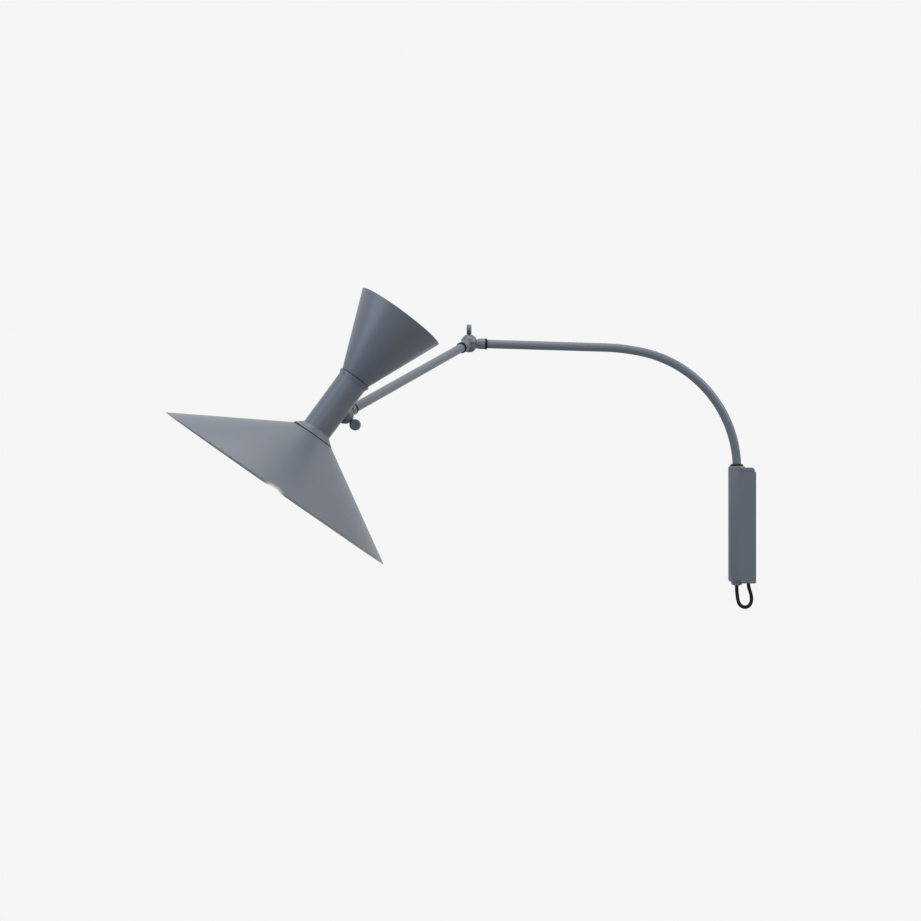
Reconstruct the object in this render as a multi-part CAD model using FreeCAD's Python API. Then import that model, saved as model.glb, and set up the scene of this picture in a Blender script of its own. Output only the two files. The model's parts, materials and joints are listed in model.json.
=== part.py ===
import FreeCAD
import Part
import math
import os

# Articulating wall lamp, millimetres and degrees.
# Origin: centre of the wall face at the bracket's mid height.
# +X points into the wall, the lamp reaches out along -X, +Z is up.

os.makedirs("parts", exist_ok=True)
V = FreeCAD.Vector
UP = V(0, 0, 1)
O = V(0, 0, 0)

# --- wall bracket: a round barrel with a flat box behind it ---
barrel_x = -25.2
barrel_r = 11.6
bore_r = 8.5
barrel_low = -79.4
barrel_high = 80.1
barrel_round = 2.4
barrel_low_round = 3.0
box_depth = 13.6
box_width = 23.0
box_low = -77.3
box_high = 72.0
box_wall = 1.8
cap_high = 78.0
cap_low = -81.5
cap_top_round = 4.2
cap_low_round = 2.0
cap_inset = 1.8
cap_gap = 0.8
cap_screw_x = -7.6
cap_screw_y = 7.0
plate_thick = 2.0
plate_width = 19.0
plate_half = 70.0
screw_spacing = 100.0
screw_hole_r = 2.25
cable_entry_r = 5.0
cable_entry_z = 28.0
grommet_x = -9.0
grommet_r = 3.3
flange_top = 82.9
flange_r = 9.2
fit = 0.05
loose = 0.3

# --- tubes, cable and the two arms ---
tube_r = 6.0
tube_bore_r = 4.5
cable_r = 2.5
tube_low = -60.0
bend_start = 83.0
foot_r = 94.0
foot_angle = 6.0
bend_r = 165.5
bend_angle = 71.7
tail_r = 290.0
tail_angle = 10.6
elbow_reach = 369.6
arm_droop = 16.06
arm_fold = 65.1
arm_length = 379.7

# --- knuckles: two half balls and a paddle screw, alike at the elbow and at the head ---
knuckle_r = 11.4
knuckle_half = 12.1
knuckle_flat = 4.2
knuckle_gap = 0.5
neck_r = 6.7
collar_r = 7.4
collar_start = 13.1
collar_end = 22.3
socket_start = 14.6
ring_end = 25.0
ring_r = 7.6
long_collar = 2.4
grub_at = 18.5
swivel_screw_at = 18.4
screw_r = 2.5
blade_r = 6.9
blade_thick = 6.8
blade_centre = 19.3

# --- head: twin shades on a tubular neck ---
knuckle_roll = 44.56
head_tilt = -29.83
boss_rise = -15.97
neck_twist = 8.11
neck_offset = 34.0
boss_height = 1.5
saddle_pitch = 7.5
neck_half = 42.0
neck_low_r = 18.2
neck_mid_r = 18.6
neck_top_r = 20.8
top_flare = 6.0
shade_sag = 1.35
flare_r = 27.3
flare_height = 7.0
neck_wall = 1.4
gasket = 1.0
shade_wall = 1.0
lower_rim_r = 158.8
lower_rim_z = -121.5
upper_rim_r = 57.0
upper_rim_z = 135.4
upper_base_r = 19.1


def export(name, *shapes):
    solids = [s for shape in shapes for s in shape.Solids]
    shape = solids[0] if len(solids) == 1 else Part.makeCompound(solids)
    shape.exportStep("parts/" + name + ".step")


def rod(start, axis, radius, length):
    return Part.makeCylinder(radius, length, start, axis)


def pipe(start, axis, outer, inner, length):
    return rod(start, axis, outer, length).cut(rod(start, axis, inner, length))


def block(x0, x1, y0, y1, z0, z1):
    return Part.makeBox(x1 - x0, y1 - y0, z1 - z0, V(x0, y0, z0))


def turned(outline):
    """Turn an outline of (radius, height) points about Z; (mid, end) pairs are arcs."""
    def at(p):
        return V(p[0], 0, p[1])

    edges = []
    here = outline[0]
    for step in outline[1:] + [outline[0]]:
        if isinstance(step[0], tuple):
            edges.append(Part.Arc(at(here), at(step[0]), at(step[1])).toShape())
            here = step[1]
        elif math.dist(here, step) > 1e-6:
            edges.append(Part.LineSegment(at(here), at(step)).toShape())
            here = step
    return Part.Face(Part.Wire(edges)).revolve(O, UP, 360)


def framed(shape, origin, x_axis, z_axis):
    """Put a shape made about Z into the frame with this origin, x and z."""
    turn = FreeCAD.Rotation(x_axis, z_axis.cross(x_axis), z_axis, "ZXY")
    shape = shape.copy()
    shape.Placement = FreeCAD.Placement(origin, turn)
    return shape


def spun(vector, axis, degrees):
    return FreeCAD.Rotation(axis, degrees).multVec(vector)


def cord_tube(name, route, radius):
    """A cord's tube: straight runs joined by arcs as large as the runs allow."""
    radii = []
    edges = []
    here = route[0]
    for before, corner, after in zip(route, route[1:], route[2:]):
        into = corner - before
        out = after - corner
        turn = into.getAngle(out)
        set_back = 0.45 * min(into.Length, out.Length)
        radii.append(set_back / math.tan(turn / 2))
        start = corner - V(into).normalize() * set_back
        end = corner + V(out).normalize() * set_back
        inward = (V(out).normalize() - V(into).normalize()).normalize()
        middle = corner + inward * (radii[-1] / math.cos(turn / 2) - radii[-1])
        edges.append(Part.LineSegment(here, start).toShape())
        edges.append(Part.Arc(start, middle, end).toShape())
        here = end
    edges.append(Part.LineSegment(here, route[-1]).toShape())
    path = Part.Wire(edges)
    first = (route[1] - route[0]).normalize()
    section = Part.Wire(Part.Circle(route[0], first, radius).toShape())
    tube = path.makePipeShell([section], True, False)
    ideal = math.pi * radius ** 2 * path.Length
    print(name, "length", round(path.Length, 1), "radii", [round(r, 1) for r in radii],
          "volume / (section x length)", round(tube.Volume / ideal, 4))
    return tube


# ---------------------------------------------------------------- wall bracket

def bracket_body():
    barrel = rod(V(barrel_x, 0, barrel_low), UP, barrel_r, barrel_high - barrel_low)
    for level, radius in ((barrel_high, barrel_round), (barrel_low, barrel_low_round)):
        rim = [e for e in barrel.Edges if e.Closed and abs(e.CenterOfMass.z - level) < 0.1]
        barrel = barrel.makeFillet(radius, rim)
    half = box_width / 2
    box = block(barrel_x, 0, -half, half, box_low, box_high)
    hollow = block(-box_depth + box_wall, 1, -half + box_wall, half - box_wall,
                   box_low - 1, box_high + 1)
    bore = rod(V(barrel_x, 0, barrel_low - 1), UP, bore_r, barrel_high - barrel_low + 2)
    return barrel.fuse(box).cut(hollow).cut(bore).removeSplitter()


def wall_plate():
    half = plate_width / 2
    sheet = block(-plate_thick, 0, -half, half, -plate_half, plate_half)
    tabs = [block(-10.6, -1, -half, half, z, z + plate_thick)
            for z in (-plate_half, plate_half - plate_thick)]
    plate = sheet.fuse(tabs).removeSplitter()
    for z in (-screw_spacing / 2, screw_spacing / 2):
        plate = plate.cut(rod(V(-3, 0, z), V(1, 0, 0), screw_hole_r, 4))
    plate = plate.cut(rod(V(-3, 0, cable_entry_z), V(1, 0, 0), cable_entry_r, 4))
    for z in (-plate_half - 1, plate_half - plate_thick - 1):
        plate = plate.cut(rod(V(cap_screw_x, cap_screw_y, z), UP, 1.5 + fit, 4))
    low = rod(V(grommet_x, 0, -plate_half - 1), UP, cable_r + 0.9, plate_thick + 2)
    return plate.cut(low)


def end_cap(low, high, rear, round_z, radius):
    """An end cap of the box, hollowed round the barrel, with its rear outer edge rounded."""
    half = box_width / 2
    cap = block(barrel_x, rear, -half, half, low, high)
    outer = [e for e in cap.Edges
             if abs(e.CenterOfMass.x - rear) < 0.1 and abs(e.CenterOfMass.z - round_z) < 0.1]
    cap = cap.makeFillet(radius, outer)
    return cap.cut(rod(V(barrel_x, 0, low - 1), UP, barrel_r + cap_gap, high - low + 2))


def top_cap():
    cap = end_cap(box_high, cap_high, -cap_inset, cap_high, cap_top_round)
    inside = block(-box_depth + box_wall, -cap_inset - box_wall, -box_width / 2 + box_wall,
                   box_width / 2 - box_wall, box_high - 1, box_high + 2)
    hole = rod(V(cap_screw_x, cap_screw_y, box_high), UP, 1.5 + fit, 10)
    sink = Part.makeCone(1.5 + fit, 2.9, 1.7, V(cap_screw_x, cap_screw_y, cap_high - 1.7), UP)
    return cap.cut(inside).cut(hole).cut(sink)


def bottom_cap():
    cap = end_cap(cap_low, box_low, 0, cap_low, cap_low_round)
    hole = rod(V(cap_screw_x, cap_screw_y, cap_low - 1), UP, 1.5 + fit, 10)
    sink = Part.makeCone(2.9, 1.5 + fit, 1.7, V(cap_screw_x, cap_screw_y, cap_low), UP)
    mouth = rod(V(grommet_x, 0, cap_low - 1), UP, grommet_r, 10)
    return cap.cut(hole).cut(sink).cut(mouth)


def cap_screws():
    def at(z):
        return V(cap_screw_x, cap_screw_y, z)

    reach = plate_half - 5
    upper = Part.makeCone(1.5, 2.8, 1.6, at(cap_high - 1.7), UP)
    upper = upper.fuse(rod(at(reach), UP, 1.5, cap_high - 1.6 - reach))
    lower = Part.makeCone(2.8, 1.5, 1.6, at(cap_low + 0.1), UP)
    lower = lower.fuse(rod(at(cap_low + 1.6), UP, 1.5, -reach - cap_low - 1.6))
    slots = [block(cap_screw_x - 3, cap_screw_x + 3, cap_screw_y - 0.4, cap_screw_y + 0.4, z, z + 0.8)
             for z in (cap_high - 0.9, cap_low)]
    return [upper.cut(slots[0]), lower.cut(slots[1])]


def bushes():
    axis = V(barrel_x, 0, 0)
    top = turned([(tube_r + fit, 64), (bore_r - fit, 64), (bore_r - fit, barrel_high),
                  (flange_r, barrel_high), (flange_r, flange_top - 1.3),
                  (tube_r + 1.4, flange_top), (tube_r + fit, flange_top)])
    low = turned([(4, tube_low - 6), (bore_r - fit, tube_low - 6), (bore_r - fit, tube_low + 14),
                  (tube_r + fit, tube_low + 14), (tube_r + fit, tube_low - 2.2),
                  (4, tube_low - 2.2)])
    washer = turned([(4, tube_low - 2.1), (tube_r - 0.1, tube_low - 2.1),
                     (tube_r - 0.1, tube_low - 0.2), (4, tube_low - 0.2)])
    return [framed(s, axis, V(1, 0, 0), UP) for s in (top, low, washer)]


def bottom_plug():
    top = barrel_low + 5.4
    plug = turned([(cable_r + fit, top), (bore_r - fit, top), (bore_r - fit, barrel_low + 0.1),
                   (7.6, barrel_low - 0.1), (7.6, barrel_low - 2.4),
                   ((6.2, barrel_low - 4.9), (3.4, barrel_low - 5.5)),
                   (cable_r + fit, barrel_low - 5.5)])
    return framed(plug, V(barrel_x, 0, 0), V(1, 0, 0), UP)


def cable_grommet():
    ring = turned([(cable_r + fit, cap_low), (grommet_r - fit, cap_low),
                   (grommet_r - fit, box_low - 0.2), (cable_r + fit, box_low - 0.2)])
    return framed(ring, V(grommet_x, 0, 0), V(1, 0, 0), UP)


# The outside loop of the supply cable, from the barrel's plug round to the box.
loop_route = [V(barrel_x, 0, -84.9), V(barrel_x, 0, -91.4), V(-24.3, 0, -99.8),
              V(-23.0, 0, -108.0), V(-19.7, 0, -113.0), V(-14.3, 0, -115.3),
              V(-8.8, 0, -113.8), V(-5.2, 0, -109.0), V(-4.5, 0, -102.0),
              V(-6.0, 0, -95.0), V(grommet_x, 0, -86.2), V(grommet_x, 0, cap_low)]


def terminal_block():
    """A three-way screw terminal between the wall plate and the box's front wall."""
    front = -11.4
    ways = [-6, 0, 6]
    body = block(front, -2.4, -9.2, 9.2, -8, 8)
    screws = []
    for y in ways:
        for z in (-4, 4):
            body = body.cut(rod(V(front - 1, y, z), V(1, 0, 0), 2.0, 5.5))
            slot = block(front, front + 1.5, y - 0.3, y + 0.3, z - 2, z + 2)
            screws.append(rod(V(front + 1, y, z), V(1, 0, 0), 1.9, 3.3).cut(slot))
    for y in (ways[0], ways[2]):
        body = body.cut(rod(V(-4.6, y, -9), UP, 1.3, 18))
    return body, screws


def make_bracket():
    export("wall_plate", wall_plate())
    export("bracket_body", bracket_body())
    export("top_cap", top_cap())
    export("bottom_cap", bottom_cap())
    export("cap_screws", *cap_screws())
    for name, shape in zip(("top_bush", "bottom_bush", "thrust_washer"), bushes()):
        export(name, shape)
    export("bottom_plug", bottom_plug())
    export("cable_grommet", cable_grommet())
    export("cable_loop", cord_tube("cable_loop", loop_route, cable_r))
    export("barrel_lead", rod(V(barrel_x, 0, -84.9), UP, cable_r, tube_low - 3 + 84.9))
    export("box_lead", rod(V(grommet_x, 0, cap_low), UP, cable_r, -8.2 - cap_low))
    block_body, screws = terminal_block()
    export("terminal_block", block_body)
    export("terminal_screws", *screws)


# ---------------------------------------------------------------- knuckles

def half_ball():
    """The upper half of the ball about Z: widest at the middle, flat on top."""
    high = knuckle_half - knuckle_gap
    sweep = knuckle_r - knuckle_flat
    curve = (sweep ** 2 + high ** 2) / (2 * sweep)
    turn = math.asin(high / curve) / 2
    mid = (knuckle_r - curve * (1 - math.cos(turn)), knuckle_gap + curve * math.sin(turn))
    return turned([(0, knuckle_gap), (knuckle_r, knuckle_gap), (mid, (knuckle_flat, knuckle_half)),
                   (0, knuckle_half)])


def knuckle(side, rise, socket, shank, reach=collar_end, shoulder=False):
    """Half a knuckle about Z; its neck leaves along +X, raised by the angle rise."""
    ball = half_ball()
    other = rod(V(0, 0, -30), UP, knuckle_r + 0.4, 30 + knuckle_gap)
    if side < 0:
        ball = ball.mirror(O, UP)
        other = other.mirror(O, UP)
    along = V(math.cos(math.radians(rise)), 0, math.sin(math.radians(rise)))
    arm = rod(O, along, neck_r, min(collar_start + 0.5, reach))
    if shoulder:
        lift = V(2, 0, side * 3.5)
        arm = arm.fuse(rod(lift, along * collar_start - lift, 5.6, collar_start - 1.5))
    half = ball.fuse(arm.cut(other))
    if reach > collar_start:
        sleeve = rod(along * collar_start, along, collar_r, reach - collar_start)
        half = half.fuse(sleeve.makeChamfer(0.4, [e for e in sleeve.Edges if e.Closed]))
        half = half.cut(rod(along * socket_start, along, socket, reach))
    hole = rod(V(0, 0, -knuckle_half - 1 if side > 0 else -knuckle_half + 2), UP, shank, 30)
    return half.cut(hole).removeSplitter()


def friction_washer(side):
    low = -knuckle_gap if side < 0 else -knuckle_gap + 0.1
    return turned([(screw_r + 0.5, low), (knuckle_r - 1, low),
                   (knuckle_r - 1, low + 0.9), (screw_r + 0.5, low + 0.9)])


def thumb_screw():
    """A round paddle on a short neck and a plain shank, about Z, seen flat along Y."""
    shank = rod(V(0, 0, -knuckle_half + 2.3), UP, screw_r, knuckle_half * 2 - 2)
    neck = rod(V(0, 0, knuckle_half + 0.15), UP, 2.6, blade_centre - knuckle_half - 2)
    blade = rod(V(0, -blade_thick / 2, blade_centre), V(0, 1, 0), blade_r, blade_thick)
    blade = blade.makeFillet(1.7, [e for e in blade.Edges if e.Closed])
    return shank.fuse([neck, blade]).removeSplitter()


def seal_ring(centre, along):
    ring = turned([(tube_r + fit, collar_end + fit), (ring_r - 0.3, collar_end + fit),
                   (ring_r, collar_end + 0.5), (ring_r, ring_end - 0.5),
                   (ring_r - 0.4, ring_end), (tube_r + fit, ring_end)])
    return framed(ring, centre, along.cross(UP).normalize(), along)


def grub_screw(along, down):
    """A socket grub screw in a collar's wall, pressing on the tube inside."""
    seat = along * grub_at
    screw = rod(seat + down * (tube_r + 0.1), down, 1.5, collar_r - tube_r - 0.2)
    return screw.cut(rod(seat + down * (collar_r - 0.9), down, 0.75, 2))


# ---------------------------------------------------------------- upper arm

def bend_arcs():
    """The tube's bend: a tight start, the main sweep and a slacker tail, each tangent to the last."""
    here = V(barrel_x, 0, bend_start)
    turn = 0.0
    arcs = []
    for radius, angle in ((foot_r, foot_angle), (bend_r, bend_angle), (tail_r, tail_angle)):
        spokes = [V(math.cos(math.radians(a)), 0, math.sin(math.radians(a))) * radius
                  for a in (turn, turn + angle / 2, turn + angle)]
        centre = here - spokes[0]
        arcs.append(Part.Arc(here, centre + spokes[1], centre + spokes[2]).toShape())
        here = centre + spokes[2]
        turn += angle
    return arcs, here, V(-math.sin(math.radians(turn)), 0, math.cos(math.radians(turn)))


bends, bend_end, arm_run = bend_arcs()
elbow = bend_end + arm_run * ((barrel_x - elbow_reach - bend_end.x) / arm_run.x)


def upper_path(low, short):
    foot = Part.LineSegment(V(barrel_x, 0, low), V(barrel_x, 0, bend_start)).toShape()
    run = Part.LineSegment(bend_end, elbow - arm_run * short).toShape()
    return Part.Wire([foot] + bends + [run])


def swept(path, start, radius):
    return path.makePipeShell([Part.Wire(Part.Circle(start, UP, radius).toShape())], True, False)


def make_upper_arm():
    start = V(barrel_x, 0, tube_low)
    path = upper_path(tube_low, socket_start + fit)
    tube = swept(path, start, tube_r).cut(swept(path, start, tube_bore_r))
    groove = pipe(V(barrel_x, 0, 62), UP, tube_r + 1, tube_r - 0.4, 1.2)
    tube = tube.cut(groove)
    ideal = math.pi * (tube_r ** 2 - tube_bore_r ** 2) * path.Length
    print("upper_arm_tube length", round(path.Length, 1),
          "volume / (section x length)", round(tube.Volume / ideal, 4))
    export("upper_arm_tube", tube)
    clip = pipe(V(barrel_x, 0, 62.1), UP, bore_r - 0.6, tube_r - 0.35, 1.0)
    export("retaining_ring", clip.cut(block(barrel_x, barrel_x + 12, -2, 2, 61, 64)))
    cable = swept(upper_path(tube_low + 0.5, socket_start + 1), V(barrel_x, 0, tube_low + 0.5),
                  cable_r)
    export("upper_arm_cable", cable)
    rise = math.degrees(math.asin(-arm_run.z))
    half = framed(knuckle(-1, rise, tube_r + fit, screw_r + fit), elbow, V(1, 0, 0), UP)
    down = V(arm_run.z, 0, -arm_run.x) * (1 if arm_run.x > 0 else -1)
    export("elbow_lower_half", half.cut(rod(elbow - arm_run * grub_at, down, 1.5 + fit, 12)))
    export("elbow_washer", framed(friction_washer(-1), elbow, V(1, 0, 0), UP))
    export("upper_arm_ring", seal_ring(elbow, -arm_run))
    export("upper_grub_screw", grub_screw(-arm_run, down).translated(elbow))
    export("elbow_screw", framed(thumb_screw(), elbow, V(0, 1, 0), UP))


# ---------------------------------------------------------------- lower arm

heading = spun(V(-1, 0, 0), UP, arm_fold)
droop = math.radians(arm_droop)
arm_dir = heading * math.cos(droop) - UP * math.sin(droop)
head_knuckle = elbow + arm_dir * arm_length
sag_dir = (arm_dir * arm_dir.z - UP).normalize()
tilt_axis = spun(sag_dir, arm_dir, knuckle_roll)


def swivel_pin():
    """Hollow pin pressed in the tube's end; the swivel's collar turns on its spigot."""
    end = arm_length - collar_end - 0.3
    spigot_end = arm_length - socket_start - 0.3
    groove = arm_length - swivel_screw_at
    profile = [(3.0, end - 18), (tube_bore_r - fit, end - 18), (tube_bore_r - fit, end - 0.5),
               (tube_bore_r + 0.2, end - 0.1), (tube_bore_r + 0.2, groove - 2.1),
               (3.8, groove - 1.9), (3.8, groove + 1.9), (tube_bore_r + 0.2, groove + 2.1),
               (tube_bore_r + 0.2, spigot_end), (3.0, spigot_end)]
    return framed(turned(profile), elbow, arm_dir.cross(UP).normalize(), arm_dir)


def make_lower_arm():
    half = knuckle(1, -arm_droop, tube_r + fit, screw_r + loose, collar_end + long_collar, True)
    export("elbow_upper_half", framed(half, elbow, heading, UP))
    start = elbow + arm_dir * (socket_start + fit)
    length = arm_length - collar_end - 0.3 - socket_start - fit
    tube = pipe(start, arm_dir, tube_r, tube_bore_r, length)
    relief = rod(elbow + arm_dir * (arm_length - collar_end - 1.0), arm_dir, tube_bore_r + 0.3, 1)
    export("lower_arm_tube", tube.cut(relief))
    export("lower_arm_cable", rod(start + arm_dir, arm_dir, cable_r, length + 5))
    export("lower_arm_ring", seal_ring(elbow + arm_dir * long_collar, arm_dir))
    export("lower_arm_end_ring", seal_ring(head_knuckle, -arm_dir).translated(-arm_dir * 0.3))
    export("swivel_pin", swivel_pin())


# ---------------------------------------------------------------- head

neck_side = spun(arm_dir, tilt_axis, head_tilt)
boss_dir = spun(neck_side, tilt_axis.cross(neck_side).normalize(), -boss_rise)
across = boss_dir.cross(tilt_axis).normalize()
head_axis = spun(across, boss_dir, neck_twist)
neck_centre = head_knuckle + boss_dir * neck_offset - head_axis * boss_height

# The lower shade and its seat hang a little off the neck's axis, about the seam's centre.
sag_hinge = head_axis.cross(UP).normalize()
shade_axis = spun(head_axis, sag_hinge, shade_sag)
shade_centre = neck_centre + (shade_axis - head_axis) * (neck_half + gasket)


def in_head(shape):
    return framed(shape, neck_centre, boss_dir, head_axis)


def in_shade(shape):
    return framed(shape, shade_centre, spun(boss_dir, sag_hinge, shade_sag), shade_axis)


def make_swivel():
    half = knuckle(1, 0, tube_bore_r + 0.2 + fit, screw_r + loose)
    seat = V(swivel_screw_at, 0, 0)
    side = V(0, 1, 0)
    hole = rod(seat, side, 1.5 + fit, 12)
    export("swivel_half", framed(half.cut(hole), head_knuckle, -arm_dir, tilt_axis))
    screw = rod(seat + side * 4.1, side, 1.5, 3.1).cut(rod(seat + side * 6.4, side, 0.75, 2))
    export("swivel_grub_screw", framed(screw, head_knuckle, -arm_dir, tilt_axis))


def neck_shape():
    low = -neck_half
    wall = neck_wall
    outer = [(flare_r + 0.9, low - 0.7), (neck_low_r, low + flare_height),
             (neck_mid_r, neck_half - top_flare), (neck_top_r, neck_half - 0.6), (neck_top_r, neck_half)]
    inner = [(neck_low_r - wall, neck_half), (neck_low_r - wall, low + flare_height + 0.5),
             (flare_r - wall * 1.4, low - 0.7)]
    return turned(outer + inner)


def saddle_half():
    half = framed(knuckle(-1, boss_rise, 1, screw_r + fit, reach=17.0),
                  head_knuckle, neck_side, tilt_axis)
    filled = in_head(turned([(0, flare_height - neck_half), (neck_low_r, flare_height - neck_half),
                             (neck_mid_r, neck_half - top_flare), (0, neck_half - top_flare)]))
    pad = rod(neck_centre - head_axis * 20, head_axis, neck_low_r + 3.0, 50)
    pad = pad.common(rod(head_knuckle + boss_dir * 11, boss_dir, 11.5, 20))
    passage = rod(head_knuckle + boss_dir * 12.5, boss_dir, 2.8, 12)
    saddle = half.fuse(pad).cut(filled)
    for offset in (-saddle_pitch, saddle_pitch):
        at = head_knuckle + head_axis * offset
        saddle = saddle.cut(rod(at + boss_dir * 10, boss_dir, 1.25, 12))
    return saddle.cut(passage).removeSplitter()


def saddle_screws():
    screws = []
    for offset in (-saddle_pitch, saddle_pitch):
        at = head_knuckle + head_axis * offset
        shank = rod(at + boss_dir * 13.2, boss_dir, 1.2, 5)
        screws.append(shank.fuse(rod(at + boss_dir * 17.6, boss_dir, 2.3, 1.4)))
    return screws


def neck_housing():
    below = in_shade(rod(V(0, 0, -neck_half - 3), UP, flare_r + 5, 3))
    shell = in_head(neck_shape()).cut(below)
    for offset in (-saddle_pitch, saddle_pitch):
        shell = shell.cut(rod(head_knuckle + head_axis * offset + boss_dir * 10, boss_dir, 1.3, 12))
    return shell.cut(rod(head_knuckle + boss_dir * 10, boss_dir, 2.8, 12))


def shade(base_r, base_z, rim_r, rim_z, flange_in, flange_thick):
    """A spun cone with a flat flange at its base and a turned lip at its rim."""
    way = 1 if rim_z > base_z else -1
    slope = (rim_r - base_r) / abs(rim_z - base_z)
    wall = shade_wall * math.sqrt(1 + slope ** 2)
    flange = base_z + way * flange_thick
    return turned([(flange_in, base_z), (base_r, base_z), (rim_r, rim_z),
                   (rim_r - wall - 1.2, rim_z), (rim_r - wall - 1.2, rim_z - way * 0.8),
                   (rim_r - wall - (0.8 * slope), rim_z - way * 0.8),
                   (base_r - wall + slope * flange_thick, flange), (flange_in, flange)])


def lampholder(outer, inner, mouth, floor, back):
    """A cup for a screw cap: open at the mouth, closed behind its floor."""
    way = 1 if mouth > back else -1
    return turned([(inner, mouth), (outer, mouth), (outer, back + way * 3), (outer - 3, back),
                   (5.0 + fit, back), (5.0 + fit, floor), (inner, floor)])


def bulb(cap_r, cap_back, cap_front, neck, globe_r, end):
    """Screw cap and opal globe of one bulb, along the head's axis."""
    way = 1 if end > cap_back else -1
    middle = end - way * globe_r
    steps = 5
    pitch = (cap_front - cap_back - way * 5) / steps
    thread = [(0, cap_back), (4, cap_back), (4.5, cap_back + way * 2), (cap_r - 1.2, cap_back + way * 4)]
    for i in range(steps):
        z = cap_back + way * 4 + i * pitch
        thread += [(cap_r - 0.2, z + pitch * 0.5), (cap_r - 1.2, z + pitch)]
    cap = turned(thread + [(cap_r - 0.3, cap_front), (0, cap_front)])
    lean = math.radians(40)
    side = (globe_r * math.cos(lean), middle - way * globe_r * math.sin(lean))
    far = (globe_r * math.cos(lean), middle + way * globe_r * math.sin(lean))
    tip = (globe_r * math.sin(math.radians(25)), middle + way * globe_r * math.cos(math.radians(25)))
    globe = turned([(0, cap_front + way * 0.1), (neck, cap_front + way * 0.1), side,
                    ((globe_r, middle), far), (tip, (0, end))])
    return cap, globe


def lampholder_bridge():
    cup = turned([(5.0 + fit, -9), (neck_low_r - neck_wall - fit, -9),
                  (neck_low_r - neck_wall - fit, 3), (15.6, 3), (15.6, -7), (5.0 + fit, -7)])
    cup = in_head(cup)
    at = head_knuckle - head_axis * saddle_pitch
    cup = cup.cut(rod(at + boss_dir * 12, boss_dir, 2.5, 12))
    for angle in (90, 270):
        side = spun(boss_dir, head_axis, angle) * 11
        cup = cup.cut(rod(neck_centre + side - head_axis * 12, head_axis, 2.2, 8))
    return cup


def hex_nut(low, high, flats):
    corners = [spun(V(flats / math.sqrt(3), 0, low), UP, 60 * i) for i in range(7)]
    nut = Part.Face(Part.makePolygon(corners)).extrude(V(0, 0, high - low))
    return nut.cut(rod(V(0, 0, low - 1), UP, 5 + fit, high - low + 2))


def make_head():
    screw_face = V(0, 1, 0).cross(tilt_axis).normalize()
    export("head_half", saddle_half())
    export("head_washer", framed(friction_washer(-1), head_knuckle, -arm_dir, tilt_axis))
    export("saddle_screws", *saddle_screws())
    export("head_screw", framed(thumb_screw(), head_knuckle, screw_face, tilt_axis))
    export("neck_housing", neck_housing())
    low = -neck_half
    top = neck_half
    seal = turned([(17.5, low - 0.05), (flare_r - 0.5, low - 0.05), (flare_r - 0.5, low - gasket + 0.05),
                   (17.5, low - gasket + 0.05)])
    export("lower_gasket", in_shade(seal))
    seal = turned([(14.3, top + 0.05), (upper_base_r - 0.4, top + 0.05),
                   (upper_base_r - 0.4, top + gasket - 0.25), (14.3, top + gasket - 0.25)])
    export("upper_gasket", in_head(seal))
    lower = shade(flare_r, low - gasket, lower_rim_r, lower_rim_z, 17.0, 1.2)
    export("lower_shade", in_shade(lower))
    upper = shade(upper_base_r, top + gasket - 0.2, upper_rim_r, upper_rim_z, 13.6, 1.2)
    export("upper_shade", in_head(upper))
    export("lower_lampholder", in_head(lampholder(16.4, 13.4, low - 8, low + 19, low + 28)))
    export("upper_lampholder", in_head(lampholder(13.0, 7.6, top + 8, top - 12, top - 28)))
    clamp = turned([(16.4 + loose, low - 2.25), (22, low - 2.25), (22, low - 4.5),
                    (20.5, low - 6), (16.4 + loose, low - 6)])
    export("lower_clamp_ring", in_shade(clamp))
    clamp = turned([(13 + fit, top + 2.05), (17.4, top + 2.05), (17.4, top + 4.5), (16.4, top + 5.5),
                    (13 + fit, top + 5.5)])
    export("upper_clamp_ring", in_head(clamp))
    cap, globe = bulb(13.2, low + 18.5, low - 9, 12.4, 27.5, lower_rim_z + 9.5)
    export("lower_bulb_cap", in_head(cap))
    export("lower_bulb_globe", in_head(globe))
    cap, globe = bulb(7.2, top - 11.5, top + 9, 6.6, 22.5, top + 66)
    export("upper_bulb_cap", in_head(cap))
    export("upper_bulb_globe", in_head(globe))
    export("lampholder_bridge", lampholder_bridge())
    export("threaded_tube", in_head(pipe(V(0, 0, low + 24), UP, 5, 3.5, top - 24 - low - 20)))
    export("bridge_nuts", in_head(hex_nut(-6.9, -3.9, 14)), in_head(hex_nut(-12.1, -9.1, 14)))


make_bracket()
make_upper_arm()
make_lower_arm()
make_swivel()
make_head()
print("elbow", elbow)
print("head knuckle", head_knuckle, "tilt axis", tilt_axis)
print("arm direction", arm_dir, "boss", boss_dir)
print("neck centre", neck_centre, "head axis", head_axis)
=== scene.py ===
import bpy
import bmesh
import json
import math
from mathutils import Matrix, Vector


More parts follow.
